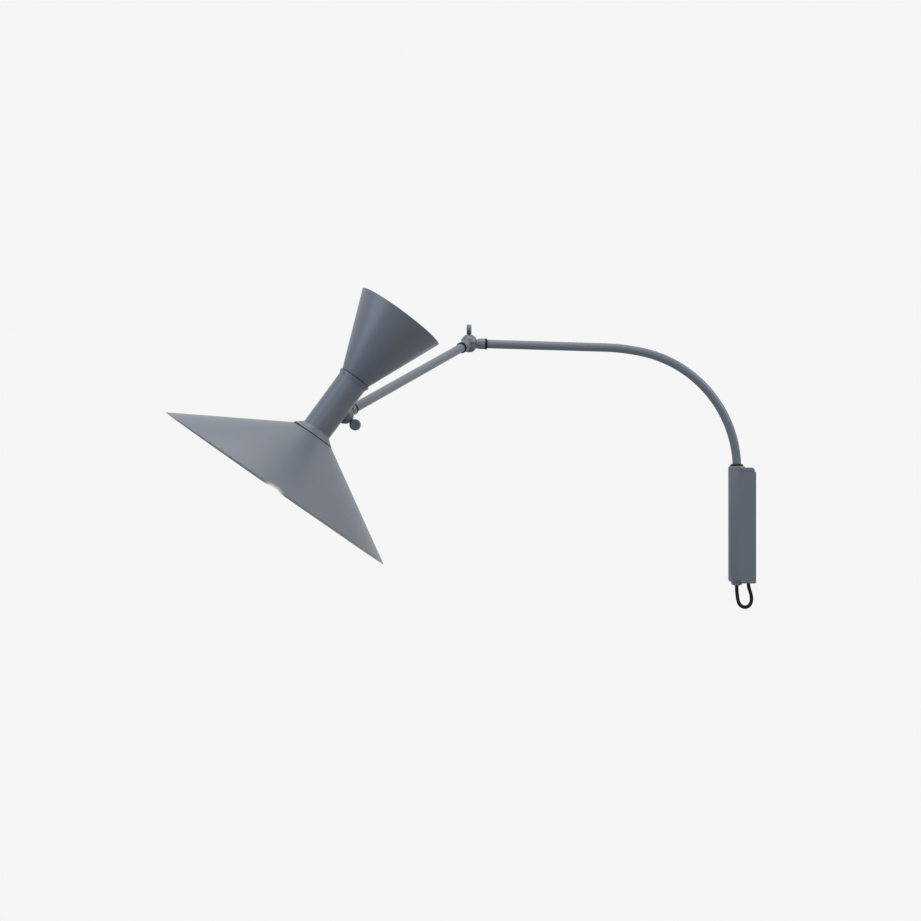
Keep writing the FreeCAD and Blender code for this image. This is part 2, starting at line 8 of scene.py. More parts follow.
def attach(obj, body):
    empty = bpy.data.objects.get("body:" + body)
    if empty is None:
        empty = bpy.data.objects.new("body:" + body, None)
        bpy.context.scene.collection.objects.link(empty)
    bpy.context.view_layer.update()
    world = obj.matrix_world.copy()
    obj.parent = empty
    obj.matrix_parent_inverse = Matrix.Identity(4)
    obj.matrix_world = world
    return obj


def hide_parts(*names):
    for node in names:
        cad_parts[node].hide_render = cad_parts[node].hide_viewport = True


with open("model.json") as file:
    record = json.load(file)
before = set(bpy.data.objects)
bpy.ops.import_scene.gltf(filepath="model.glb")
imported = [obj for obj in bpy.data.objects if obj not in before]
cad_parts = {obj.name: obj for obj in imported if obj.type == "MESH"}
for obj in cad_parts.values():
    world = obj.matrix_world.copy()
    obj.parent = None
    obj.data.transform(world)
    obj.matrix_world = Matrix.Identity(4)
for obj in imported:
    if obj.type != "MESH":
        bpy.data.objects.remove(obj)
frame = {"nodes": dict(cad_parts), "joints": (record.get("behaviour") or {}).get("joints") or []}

# Articulating wall lamp: bent tube, straight arm, two knuckles and a twin-shade head.
# Pieces are built in millimetres about their own centre, then seated in the frame.

mm = 0.001
scene = bpy.context.scene
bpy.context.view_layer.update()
print("frame loaded,", len(frame["nodes"]), "nodes")


# ---- camera and studio ----

cameraSettings = {"place": (-0.4066, -2.762, 0.0877), "lens": 78.18, "sensor": 36.0, "farthest": 50}
studio = {
    "background": (0.9216, 0.9216, 0.9216),
    "ambient": 0.155,
    "lamps": {
        "overheadLamp": {"place": (-0.45, -0.35, 2.0), "aim": (-0.45, -0.25, 0.1), "size": 1.9,
                         "power": 23.0, "colour": (1.0, 1.0, 1.0)},
        "leftLamp": {"place": (-2.3, -1.3, 0.9), "aim": (-0.5, -0.3, 0.1), "size": 1.5,
                     "power": 17.0, "colour": (0.76, 0.89, 1.0)},
        "rightLamp": {"place": (1.6, -0.55, 1.35), "aim": (-0.5, -0.3, 0.1), "size": 1.3,
                      "power": 20.0, "colour": (1.0, 0.99, 0.97)},
        "frontLamp": {"place": (-0.9, -3.2, 1.3), "aim": (-0.4, -0.2, 0.1), "size": 1.4,
                      "power": 8.0, "colour": (0.96, 0.98, 1.0)},
    },
    "floor": {"height": -0.9, "thick": 0.01, "half": 1.7, "corner": 0.1, "centre": (-0.4, -0.3),
              "colour": (0.80, 0.80, 0.80), "roughness": 0.9},
}


def makeCamera():
    data = bpy.data.cameras.new("photoCamera")
    data.sensor_width = cameraSettings["sensor"]
    data.lens = cameraSettings["lens"]
    data.clip_end = cameraSettings["farthest"]
    camera = bpy.data.objects.new("photoCamera", data)
    camera.location = cameraSettings["place"]
    camera.rotation_euler = (math.pi / 2, 0, 0)
    scene.collection.objects.link(camera)
    scene.camera = camera


makeCamera()


# ---- places taken from the frame's joints ----

joints = {joint["name"]: joint for joint in frame["joints"]}
elbow = Vector(joints["elbow_swing"]["pos_m"])
headKnuckle = Vector(joints["head_tilt"]["pos_m"])
tiltAxis = Vector(joints["head_tilt"]["axis"]).normalized()
armDir = (headKnuckle - elbow).normalized()
up = Vector((0, 0, 1))

headPose = {"tilt": -29.83, "rise": 15.97, "twist": 8.11, "offset": 34.0, "bossHeight": 1.5,
            "shadeSag": 1.35, "seamHeight": -43.0}
barrelAxisX = -0.0252


def turnedBy(vector, about, degrees):
    return Matrix.Rotation(math.radians(degrees), 3, about) @ vector


heading = Vector((armDir.x, armDir.y, 0)).normalized()
neckSide = turnedBy(armDir, tiltAxis, headPose["tilt"])
bossDir = turnedBy(neckSide, tiltAxis.cross(neckSide).normalized(), headPose["rise"])
headAxis = turnedBy(bossDir.cross(tiltAxis).normalized(), bossDir, headPose["twist"])
neckCentre = headKnuckle + (bossDir * headPose["offset"] - headAxis * headPose["bossHeight"]) * mm


def seat(origin, xAxis, zAxis):
    z = zAxis.normalized()
    y = z.cross(xAxis).normalized()
    turn = Matrix((y.cross(z), y, z)).transposed().to_4x4()
    return Matrix.Translation(origin) @ turn @ Matrix.Scale(mm, 4)


bracketSeat = Matrix.Scale(mm, 4)
barrelSeat = Matrix.Translation((barrelAxisX, 0, 0)) @ bracketSeat
headSeat = seat(neckCentre, bossDir, headAxis)
# the lower shade hangs a little off the neck's axis, about the centre of its seam
sagHinge = headAxis.cross(up).normalized()
shadeAxis = turnedBy(headAxis, sagHinge, headPose["shadeSag"])
shadeSeat = seat(neckCentre + (headAxis - shadeAxis) * headPose["seamHeight"] * mm,
                 turnedBy(bossDir, sagHinge, headPose["shadeSag"]), shadeAxis)
armSeat = seat(elbow, armDir.cross(up), armDir)


# ---- helpers for meshes ----

def linked(name, data):
    obj = bpy.data.objects.new(name, data)
    scene.collection.objects.link(obj)
    return obj


def meshPiece(name, verts, faces):
    mesh = bpy.data.meshes.new(name)
    mesh.from_pydata([tuple(v) for v in verts], [], faces)
    obj = linked(name, mesh)
    tidyNormals(obj)
    return obj


def tidyNormals(obj, reach=1e-4):
    bm = bmesh.new()
    bm.from_mesh(obj.data)
    bmesh.ops.remove_doubles(bm, verts=bm.verts, dist=reach)
    bmesh.ops.recalc_face_normals(bm, faces=bm.faces)
    bm.to_mesh(obj.data)
    bm.free()


def rounded(corners, steps=5):
    # each corner is (x, y) or (x, y, radius); a radius turns the corner into an arc
    outline = []
    count = len(corners)
    for i, corner in enumerate(corners):
        here = Vector(corner[:2])
        if len(corner) == 2:
            outline.append(here)
            continue
        back = (Vector(corners[i - 1][:2]) - here).normalized()
        ahead = (Vector(corners[(i + 1) % count][:2]) - here).normalized()
        half = back.angle(ahead) / 2
        centre = here + (back + ahead).normalized() * corner[2] / math.sin(half)
        reach = corner[2] / math.tan(half)
        first = here + back * reach - centre
        last = here + ahead * reach - centre
        sweep = math.atan2(first.cross(last), first.dot(last))
        for k in range(steps + 1):
            outline.append(centre + Matrix.Rotation(sweep * k / steps, 2) @ first)
    return outline


def lathe(name, corners, around=96, inside=None):
    # spins a closed outline of (radius, height) about Z
    outline = rounded(corners)
    verts = []
    rings = []
    for r, z in outline:
        steps = 1 if r < 1e-5 else around
        rings.append([len(verts) + i % steps for i in range(around + 1)])
        for i in range(steps):
            turn = 2 * math.pi * i / around
            verts.append((r * math.cos(turn), r * math.sin(turn), z))
    faces = []
    for lower, upper in zip(rings, rings[1:] + rings[:1]):
        for i in range(around):
            loop = [lower[i], lower[i + 1], upper[i + 1], upper[i]]
            corner = [v for k, v in enumerate(loop) if v != loop[k - 1]]
            if len(corner) > 2:
                faces.append(corner)
    obj = meshPiece(name, verts, faces)
    if inside:
        marks = obj.data.attributes.new("inside", "FLOAT", "POINT")
        for i, vert in enumerate(obj.data.vertices):
            marks.data[i].value = 1.0 if inside(math.hypot(vert.co.x, vert.co.y), vert.co.z) else 0.0
    return obj


def slab(name, corners, low, high):
    # raises a flat outline from low to high
    outline = rounded(corners)
    count = len(outline)
    verts = [(x, y, z) for z in (low, high) for x, y in outline]
    faces = [list(range(count))[::-1], list(range(count, 2 * count))]
    for i in range(count):
        k = (i + 1) % count
        faces.append([i, k, count + k, count + i])
    return meshPiece(name, verts, faces)


def turnLocal(obj, origin=(0, 0, 0), zAxis=(0, 0, 1), xAxis=(1, 0, 0)):
    z = Vector(zAxis).normalized()
    if abs(z.dot(Vector(xAxis).normalized())) > 0.99:
        xAxis = (0, 1, 0)
    y = z.cross(Vector(xAxis)).normalized()
    turn = Matrix((y.cross(z), y, z)).transposed().to_4x4()
    obj.data.transform(Matrix.Translation(origin) @ turn)
    return obj


def post(name, start, along, radius, length, around=64):
    # a plain round bar, used only as a blank or as a cutter for other pieces
    bar = lathe(name, [(0, 0), (radius, 0), (radius, length), (0, length)], around)
    return turnLocal(bar, start, along)


def baked(obj):
    depsgraph = bpy.context.evaluated_depsgraph_get()
    mesh = bpy.data.meshes.new_from_object(obj.evaluated_get(depsgraph))
    if obj.type == "MESH":
        obj.modifiers.clear()
        obj.data = mesh
        return obj
    name = obj.name
    bpy.data.objects.remove(obj)
    return linked(name, mesh)


def joined(name, parts):
    with bpy.context.temp_override(active_object=parts[0], object=parts[0],
                                   selected_objects=parts, selected_editable_objects=parts):
        bpy.ops.object.join()
    parts[0].name = name
    return parts[0]


def shaped(obj, cutter, how="DIFFERENCE"):
    change = obj.modifiers.new("cut", "BOOLEAN")
    change.operation = how
    change.solver = "EXACT"
    change.object = cutter
    baked(obj)
    bpy.data.objects.remove(cutter)
    return obj


def softened(obj, width):
    edge = obj.modifiers.new("edges", "BEVEL")
    edge.width = width
    edge.segments = 2
    edge.limit_method = "ANGLE"
    edge.angle_limit = math.radians(40)
    return baked(obj)


def castSkin(obj, voxel, rounds):
    # melts overlapping blanks into one casting with small fillets
    skin = obj.modifiers.new("skin", "REMESH")
    skin.mode = "VOXEL"
    skin.voxel_size = voxel
    smooth = obj.modifiers.new("smooth", "SMOOTH")
    smooth.factor = 0.5
    smooth.iterations = rounds
    return baked(obj)


def settle(obj, place, body, material, crease=35):
    # seats a finished piece, which stands for the CAD node of its own name
    nodes = ["".join("_" + letter.lower() if letter.isupper() else letter for letter in obj.name)]
    obj.data.transform(place)
    obj.data.materials.clear()
    obj.data.materials.append(material)
    obj.data.shade_smooth()
    obj.data.set_sharp_from_angle(angle=math.radians(crease))
    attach(obj, body)
    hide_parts(*nodes)


# ---- helpers for node trees ----

def addNode(tree, kind, inputs=None, **settings):
    node = tree.nodes.new(kind)
    for key, value in settings.items():
        setattr(node, key, value)
    for key, value in (inputs or {}).items():
        if isinstance(value, bpy.types.NodeSocket):
            tree.links.new(value, node.inputs[key])
        else:
            node.inputs[key].default_value = value
    return node


def nodeOut(tree, kind, inputs=None, **settings):
    # the first output of a new node
    return addNode(tree, kind, inputs, **settings).outputs[0]


def geo(tree, kind, inputs, **settings):
    return nodeOut(tree, "GeometryNode" + kind, inputs, **settings)


def reckon(tree, how, *terms, **settings):
    return nodeOut(tree, "ShaderNodeMath", dict(enumerate(terms)), operation=how, **settings)


def upBy(tree, height):
    return nodeOut(tree, "ShaderNodeCombineXYZ", {"Z": height})


def lifted(tree, geometry, height):
    return geo(tree, "Transform", {"Geometry": geometry, "Translation": upBy(tree, height)})


def gathered(tree, first, *others):
    whole = addNode(tree, "GeometryNodeJoinGeometry", {0: first})
    for other in others:
        tree.links.new(other, whole.inputs[0])
    return whole.outputs[0]


def socketKind(value):
    if isinstance(value, tuple):
        return "Color" if len(value) == 4 else "Vector"
    return "Int" if isinstance(value, int) else "Float"


def newTree(name, kind, inputs, outputs):
    # inputs give each socket's default, or its kind in a word where it has none
    tree = bpy.data.node_groups.new(name, kind)
    for label, value in inputs.items():
        empty = isinstance(value, str)
        socket = value if empty else socketKind(value)
        item = tree.interface.new_socket(label, in_out="INPUT", socket_type="NodeSocket" + socket)
        if not empty:
            item.default_value = value
    for label, socket in outputs.items():
        tree.interface.new_socket(label, in_out="OUTPUT", socket_type="NodeSocket" + socket)
    source = tree.nodes.new("NodeGroupInput").outputs
    target = tree.nodes.new("NodeGroupOutput").inputs
    return tree, source, target


def send(tree, target, **outputs):
    for label, value in outputs.items():
        tree.links.new(value, target[label])
    return tree


def geometryTree(name, inputs):
    return newTree(name, "GeometryNodeTree", {"Geometry": "Geometry", **inputs, "Material": "Material"},
                   {"Geometry": "Geometry"})


def finishTree(tree, source, target, geometry):
    real = geo(tree, "RealizeInstances", {0: geometry})
    dressed = geo(tree, "SetMaterial", {"Geometry": real, "Material": source["Material"]})
    return send(tree, target, Geometry=dressed)


def grown(obj, tree, values):
    # runs a geometry tree on the object with these named inputs
    change = obj.modifiers.new(tree.name, "NODES")
    change.node_group = tree
    for item in tree.interface.items_tree:
        if item.item_type == "SOCKET" and item.in_out == "INPUT" and item.name in values:
            change[item.identifier] = values[item.name]
    return baked(obj)


def makeTubeTree():
    # a hollow tube along the curve it is given
    tree, source, target = geometryTree("tubeAlongPath", {"Bore": 4.5, "Wall": 1.5, "Sides": 48})
    ring = geo(tree, "CurvePrimitiveCircle", {"Resolution": source["Sides"], "Radius": source["Bore"]})
    skin = geo(tree, "CurveToMesh", {"Curve": source["Geometry"], "Profile Curve": ring})
    wall = geo(tree, "ExtrudeMesh", {"Mesh": skin, "Offset Scale": source["Wall"], "Individual": False})
    lining = geo(tree, "FlipFaces", {0: skin})
    closed = geo(tree, "MergeByDistance", {"Geometry": gathered(tree, wall, lining), "Distance": 0.0005})
    return finishTree(tree, source, target, closed)


def threadRidge(tree, radius, length, pitch, thickness, steps, sides):
    helix = geo(tree, "CurveSpiral", {
        "Resolution": steps, "Rotations": reckon(tree, "DIVIDE", length, pitch), "Start Radius": radius,
        "End Radius": radius, "Height": length})
    ring = geo(tree, "CurvePrimitiveCircle", {"Resolution": sides, "Radius": thickness})
    return geo(tree, "CurveToMesh", {"Curve": helix, "Profile Curve": ring, "Fill Caps": True})


def makeThreadTree():
    # adds a screw thread about Z to the mesh it is given
    tree, source, target = geometryTree("screwThread", {
        "Radius": 2.3, "Start": 0.0, "Length": 8.0, "Pitch": 0.8, "Thickness": 0.2})
    ridge = threadRidge(tree, source["Radius"], source["Length"], source["Pitch"], source["Thickness"],
                        steps=28, sides=6)
    moved = lifted(tree, ridge, source["Start"])
    return finishTree(tree, source, target, gathered(tree, moved, source["Geometry"]))


def makeRibTree():
    # adds grip ribs in a ring about Z to the mesh it is given
    tree, source, target = geometryTree("gripRibs", {
        "Count": 24, "Radius": 20.0, "Rib": 0.6, "Height": 3.0, "Middle": 0.0})
    circle = geo(tree, "MeshCircle", {"Vertices": source["Count"], "Radius": source["Radius"]})
    rib = geo(tree, "MeshCylinder", {"Vertices": 8, "Radius": source["Rib"], "Depth": source["Height"]})
    ribs = geo(tree, "InstanceOnPoints", {"Points": circle, "Instance": rib})
    moved = lifted(tree, ribs, source["Middle"])
    return finishTree(tree, source, target, gathered(tree, moved, source["Geometry"]))


def makeScrewTree():
    # puts a slotted, threaded screw on each vertex, its head facing Direction
    tree, source, target = geometryTree("slottedScrews", {
        "Head": 3.1, "Under": 1.5, "Head Height": 1.6, "Shank": 1.4, "Length": 12.0, "Slot": 0.8,
        "Direction": (0, 0, 1)})
    slotReach = 2.4
    thread = {"pitch": 0.7, "thickness": 0.15, "steps": 16, "sides": 4}
    height = source["Head Height"]
    length = source["Length"]
    cone = geo(tree, "MeshCone", {
        "Vertices": 40, "Radius Top": source["Head"], "Radius Bottom": source["Under"], "Depth": height})
    under = reckon(tree, "MULTIPLY", height, -1.0)
    slotLong = reckon(tree, "MULTIPLY", source["Head"], slotReach)
    slotSize = nodeOut(tree, "ShaderNodeCombineXYZ", {"X": slotLong, "Y": source["Slot"], "Z": height})
    slotBar = geo(tree, "MeshCube", {"Size": slotSize})
    slotted = geo(tree, "MeshBoolean", {
        "Mesh 1": lifted(tree, cone, under), "Mesh 2": slotBar}, operation="DIFFERENCE", solver="EXACT")
    shank = geo(tree, "MeshCylinder", {"Vertices": 24, "Radius": source["Shank"], "Depth": length})
    shankMiddle = reckon(tree, "ADD", reckon(tree, "MULTIPLY", length, -0.5), under)
    ridge = threadRidge(tree, source["Shank"], length, **thread)
    ridgeLow = reckon(tree, "ADD", reckon(tree, "MULTIPLY", length, -1.0), under)
    screw = gathered(tree, slotted, lifted(tree, shank, shankMiddle), lifted(tree, ridge, ridgeLow))
    facing = nodeOut(tree, "FunctionNodeAlignRotationToVector", {"Vector": source["Direction"]}, axis="Z")
    screws = geo(tree, "InstanceOnPoints", {
        "Points": source["Geometry"], "Instance": screw, "Rotation": facing})
    return finishTree(tree, source, target, screws)


tubeTree = makeTubeTree()
threadTree = makeThreadTree()
ribTree = makeRibTree()
screwTree = makeScrewTree()
print("geometry trees built")


# ---- finishes ----

def noise(tree, vector, scale, detail=2.0, roughness=0.5):
    return nodeOut(tree, "ShaderNodeTexNoise", {
        "Vector": vector, "Scale": scale, "Detail": detail, "Roughness": roughness})


def scaled(tree, vector, factor):
    return nodeOut(tree, "ShaderNodeVectorMath", {0: vector, "Scale": factor}, operation="SCALE")


def blended(tree, factor, first, second):
    mixed = addNode(tree, "ShaderNodeMix", {"Factor": factor, 6: first, 7: second}, data_type="RGBA")
    return mixed.outputs[2]


def makeSurfaceGrain():
    # fine skin of a finish: soft colour drift, gloss drift and a bump height
    tree, source, target = newTree("surfaceGrain", "ShaderNodeTree", {
        "Vector": "Vector", "Colour": (0.5, 0.5, 0.5, 1), "Drift": 0.05, "Drift Scale": 14.0,
        "Gloss": 0.4, "Gloss Drift": 0.06, "Grain Scale": 900.0},
        {"Colour": "Color", "Roughness": "Float", "Height": "Float"})
    drift = noise(tree, source["Vector"], source["Drift Scale"], 3.0, 0.55)
    centred = reckon(tree, "SUBTRACT", drift, 0.5)
    swing = reckon(tree, "MULTIPLY_ADD", centred, source["Drift"], 1.0)
    gloss = reckon(tree, "MULTIPLY_ADD", centred, source["Gloss Drift"], source["Gloss"], use_clamp=True)
    return send(tree, target, Colour=scaled(tree, source["Colour"], swing), Roughness=gloss,
                Height=noise(tree, source["Vector"], source["Grain Scale"]))


def makeSpunMarks():
    # faint rings left by spinning and turning, about the axis that Vector's Z runs along
    tree, source, target = newTree("spunMarks", "ShaderNodeTree", {"Vector": "Vector", "Rings": 900.0},
                                   {"Height": "Float"})
    parts = addNode(tree, "ShaderNodeSeparateXYZ", {0: source["Vector"]})
    return send(tree, target, Height=noise(tree, upBy(tree, parts.outputs["Z"]), source["Rings"], 3.0, 0.6))


def makeDustFlecks():
    # sparse pale specks, gathered in clumps
    fleck = {"size": 0.11, "clumpScale": 22.0, "clumpFrom": 0.56}
    tree, source, target = newTree("dustFlecks", "ShaderNodeTree", {
        "Vector": "Vector", "Scale": 260.0, "Amount": 0.12}, {"Mask": "Float"})
    cells = nodeOut(tree, "ShaderNodeTexVoronoi", {"Vector": source["Vector"], "Scale": source["Scale"]})
    near = reckon(tree, "LESS_THAN", cells, fleck["size"])
    clumps = noise(tree, source["Vector"], fleck["clumpScale"])
    both = reckon(tree, "MULTIPLY", near, reckon(tree, "GREATER_THAN", clumps, fleck["clumpFrom"]))
    return send(tree, target, Mask=reckon(tree, "MULTIPLY", both, source["Amount"]))


def makePaintedRimGlow():
    # painted light: a warm glow painted as emission round a centre that lies just outside an edge, standing
    # for light spilling over it
    falloff = 1.6
    tree, source, target = newTree("rimGlow", "ShaderNodeTree", {
        "Vector": "Vector", "Centre": (0, 0, 0), "Reach": 0.015, "Fade": 0.006, "Tint": (1, 0.9, 0.6, 1)},
        {"Colour": "Color"})
    away = addNode(tree, "ShaderNodeVectorMath", {0: source["Vector"], 1: source["Centre"]},
                   operation="DISTANCE")
    left = reckon(tree, "SUBTRACT", source["Reach"], away.outputs["Value"])
    share = reckon(tree, "DIVIDE", left, source["Fade"], use_clamp=True)
    return send(tree, target, Colour=scaled(tree, source["Tint"], reckon(tree, "POWER", share, falloff)))


surfaceGrain = makeSurfaceGrain()
spunMarks = makeSpunMarks()
dustFlecks = makeDustFlecks()
rimGlow = makePaintedRimGlow()


def placeGroup(tree, group, inputs):
    return addNode(tree, "ShaderNodeGroup", inputs, node_tree=group).outputs


def objectPlace(tree):
    return addNode(tree, "ShaderNodeTexCoord").outputs["Object"]


def insideMark(tree):
    # 1 on the lamp side of a shade, 0 elsewhere
    return addNode(tree, "ShaderNodeAttribute", attribute_name="inside").outputs["Fac"]


def makeFinish(name, colour, gloss, grainScale, bump, drift=0.05, glossDrift=0.06, driftScale=14.0,
               dust=0.0, metallic=0.0, specular=0.5, turnedAbout=None, lining=None, rings=0.0):
    dustColour = (0.55, 0.54, 0.52, 1)
    ringShare = 0.6
    material = bpy.data.materials.new(name)
    material.use_nodes = True
    tree = material.node_tree
    shader = tree.nodes["Principled BSDF"]
    shader.inputs["Metallic"].default_value = metallic
    shader.inputs["Specular IOR Level"].default_value = specular
    place = objectPlace(tree)
    grain = placeGroup(tree, surfaceGrain, {
        "Vector": place, "Colour": (*colour, 1), "Drift": drift, "Drift Scale": driftScale, "Gloss": gloss,
        "Gloss Drift": glossDrift, "Grain Scale": grainScale})
    colourOut = grain["Colour"]
    roughOut = grain["Roughness"]
    heightOut = grain["Height"]
    if lining:
        inner = insideMark(tree)
        colourOut = blended(tree, inner, colourOut, (*lining["colour"], 1))
        roughOut = nodeOut(tree, "ShaderNodeMix", {"Factor": inner, 2: roughOut, 3: lining["gloss"]},
                           data_type="FLOAT")
    if dust:
        specks = placeGroup(tree, dustFlecks, {"Vector": place, "Amount": dust})
        colourOut = blended(tree, specks["Mask"], colourOut, dustColour)
    if rings:
        axisPlace = nodeOut(tree, "ShaderNodeMapping", {
            "Vector": place, "Location": turnedAbout.translation,
            "Rotation": turnedAbout.to_3x3().normalized().to_euler()}, vector_type="TEXTURE")
        marks = placeGroup(tree, spunMarks, {"Vector": axisPlace, "Rings": rings})
        heightOut = reckon(tree, "MULTIPLY_ADD", marks["Height"], ringShare, heightOut)
    relief = nodeOut(tree, "ShaderNodeBump", {"Height": heightOut, "Strength": bump[0], "Distance": bump[1]})
    send(tree, shader.inputs, **{"Base Color": colourOut, "Roughness": roughOut, "Normal": relief})
    return material


paintLook = {"colour": (0.150, 0.172, 0.212), "gloss": 0.40, "grainScale": 1100.0, "bump": (0.22, 0.00005),
             "drift": 0.10, "glossDrift": 0.10, "dust": 0.05}
liningLook = {"colour": (0.30, 0.30, 0.30), "gloss": 0.24}
spunRings = 1400.0

paint = makeFinish("satinPaint", **paintLook)
shadePaint = makeFinish("shadePaint", turnedAbout=headSeat, rings=spunRings, lining=liningLook, **paintLook)

# painted light: the lit bulb's glow is painted as warm emission on the rim's near side, with a small painted
# hot spot on the lining opposite
paintedGleam = {"rimR": 158.8, "rimZ": -121.5, "toward": (0.075, -1, 0), "slant": 0.6, "outside": 10.5,
         "reach": 0.0190, "fade": 0.0080, "tint": (0.45, 0.39, 0.26, 1), "spotOutside": 11.0,
         "spotReach": 0.0230, "spotTint": (0.74, 0.70, 0.58, 1)}


def addPaintedGleam(material):
    g = paintedGleam
    toShade = shadeSeat.inverted()
    near = toShade.to_3x3() @ Vector(g["toward"])
    near = Vector((near.x, near.y, 0)).normalized()
    edge = near * g["rimR"] + Vector((0, 0, g["rimZ"]))
    sight = edge - toShade @ Vector(cameraSettings["place"])
    flat = Vector((sight.x, sight.y, 0))
    across = edge - sight * (2 * edge.dot(flat) / flat.length_squared)
    tree = material.node_tree
    shader = tree.nodes["Principled BSDF"]
    place = objectPlace(tree)
    inner = insideMark(tree)
    outer = reckon(tree, "SUBTRACT", 1.0, inner)
    glows = []
    # both patches are painted highlights: emission added to the shade's paint, not light from the bulb
    for centre, side, outside, reach, tint in (
            (edge, outer, g["outside"], g["reach"], g["tint"]),
            (across, inner, g["spotOutside"], g["spotReach"], g["spotTint"])):
        slant = Vector((centre.x, centre.y, -g["slant"] * g["rimR"])).normalized()
        glow = placeGroup(tree, rimGlow, {"Vector": place, "Centre": shadeSeat @ (centre + slant * outside),
                                          "Reach": reach, "Fade": g["fade"], "Tint": tint})
        glows.append(scaled(tree, glow["Colour"], side))
    both = nodeOut(tree, "ShaderNodeVectorMath", dict(enumerate(glows)), operation="ADD")
    tree.links.new(both, shader.inputs["Emission Color"])
    shader.inputs["Emission Strength"].default_value = 1.0


addPaintedGleam(shadePaint)
neckPaint = makeFinish("neckPaint", turnedAbout=headSeat, rings=spunRings, **paintLook)
zincSteel = makeFinish("zincSteel", (0.55, 0.55, 0.53), 0.36, 700.0, (0.25, 0.00004), drift=0.25,
                       glossDrift=0.3, driftScale=60.0, metallic=1.0)
blackPolymer = makeFinish("blackPolymer", (0.006, 0.006, 0.007), 0.50, 1600.0, (0.3, 0.00004), drift=0.3,
                          dust=0.03, specular=0.16)
blackRubber = makeFinish("blackRubber", (0.005, 0.005, 0.006), 0.65, 1300.0, (0.35, 0.00005), drift=0.3,
                         dust=0.03, specular=0.14)
cableSheath = makeFinish("cableSheath", (0.006, 0.006, 0.007), 0.55, 1500.0, (0.3, 0.00004), drift=0.25,
                         dust=0.03, specular=0.16)
holderPlastic = makeFinish("holderPlastic", (0.62, 0.60, 0.56), 0.42, 1500.0, (0.25, 0.00004), drift=0.08)
terminalPlastic = makeFinish("terminalPlastic", (0.66, 0.63, 0.55), 0.48, 1200.0, (0.25, 0.00004), drift=0.08)
brass = makeFinish("brass", (0.62, 0.45, 0.20), 0.34, 800.0, (0.2, 0.00003), drift=0.2, glossDrift=0.2,
                   driftScale=50.0, metallic=1.0)
bulbCapMetal = makeFinish("bulbCapMetal", (0.60, 0.58, 0.54), 0.32, 700.0, (0.2, 0.00003), drift=0.2,
                          glossDrift=0.25, driftScale=70.0, metallic=1.0)


def makeOpal():
    # frosted glass lit from within, a little warmer in patches
    glow = {"middle": (1.0, 0.86, 0.66, 1), "patch": (1.0, 0.80, 0.56, 1), "scale": 35.0, "strength": 3.2}
    material = makeFinish("opalGlobe", (0.82, 0.80, 0.76), 0.30, 1000.0, (0.1, 0.00002), drift=0.04)
    tree = material.node_tree
    shader = tree.nodes["Principled BSDF"]
    cloud = noise(tree, objectPlace(tree), glow["scale"])
    tree.links.new(blended(tree, cloud, glow["middle"], glow["patch"]), shader.inputs["Emission Color"])
    shader.inputs["Emission Strength"].default_value = glow["strength"]
    return material


opalGlobe = makeOpal()
print("finishes built")


# ---- the cord under the bracket ----

cordLoop = {
    "diameter": 0.005, "exit": (-0.0252, 0, -0.0849), "smooth": 12, "round": 6,
    "route": [(-25.2, -84.9), (-25.2, -91.4), (-24.3, -99.8), (-23.0, -108.0), (-19.7, -113.0),
              (-14.3, -115.3), (-8.8, -113.8), (-5.2, -109.0), (-4.5, -102.0), (-6.0, -95.0), (-9.0, -86.2),
              (-9.0, -81.5)],
}


def curveLength(obj):
    depsgraph = bpy.context.evaluated_depsgraph_get()
    mesh = bpy.data.meshes.new_from_object(obj.evaluated_get(depsgraph))
    spots = [vert.co for vert in mesh.vertices]
    length = sum((spots[a] - spots[b]).length for a, b in (edge.vertices for edge in mesh.edges))
    bpy.data.meshes.remove(mesh)
    return length


def makeCord():
    curve = bpy.data.curves.new("cableLoop", "CURVE")
    curve.dimensions = "3D"
    curve.resolution_u = cordLoop["smooth"]
    spline = curve.splines.new("NURBS")
    spline.points.add(len(cordLoop["route"]) - 1)
    for spot, (x, z) in zip(spline.points, cordLoop["route"]):
        spot.co = (x * mm, 0, z * mm, 1)
    spline.order_u = 3
    spline.use_endpoint_u = True
    cord = linked("cableLoop", curve)
    length = curveLength(cord)
    curve.bevel_depth = cordLoop["diameter"] / 2
    curve.bevel_resolution = cordLoop["round"]
    curve.use_fill_caps = True
    curve.materials.append(cableSheath)
    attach(cord, "wall_bracket")
    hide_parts("cable_loop")
    print("cord,", round(length / mm, 1), "mm")


makeCord()


# ---- wall bracket ----

bracket = {
    "barrelX": -25.2, "barrelR": 11.6, "boreR": 8.5, "barrelLow": -79.4, "barrelHigh": 80.1,
    "lowRound": 2.95, "highRound": 2.4, "boreRound": 0.2, "barrelAround": 160,
    "depth": 13.6, "half": 11.5, "low": -77.3, "high": 72.0, "wall": 1.8, "innerRound": 0.8,
    "tuck": 0.02, "tuckTurn": 0.06, "diveTurn": 0.1,
    "capGap": 0.8, "capHigh": 78.0, "capLow": -81.5, "capRound": 4.2, "bottomRound": 2.0, "roundSteps": 9,
    "capEdge": 0.3, "topInset": 1.8, "grommetX": -9.0, "grommetHole": 3.3,
    "screwAt": (-7.6, 7.0), "screwRecess": 0.1, "topScrewLong": 11.3, "bottomScrewLong": 14.8,
    "screwSink": [(0, 2.4), (3.6, 2.4), (1.6, -1.75), (1.6, -20), (0, -20)],
}
capScrew = {"Head": 2.8, "Under": 1.5, "Head Height": 1.6, "Shank": 1.35, "Slot": 0.8}
terminalScrew = {"Head": 1.85, "Under": 1.85, "Head Height": 1.6, "Shank": 1.5, "Length": 1.6, "Slot": 0.6}
terminalSpots = [(-10.3, y, z) for y in (-6, 0, 6) for z in (-4, 4)]

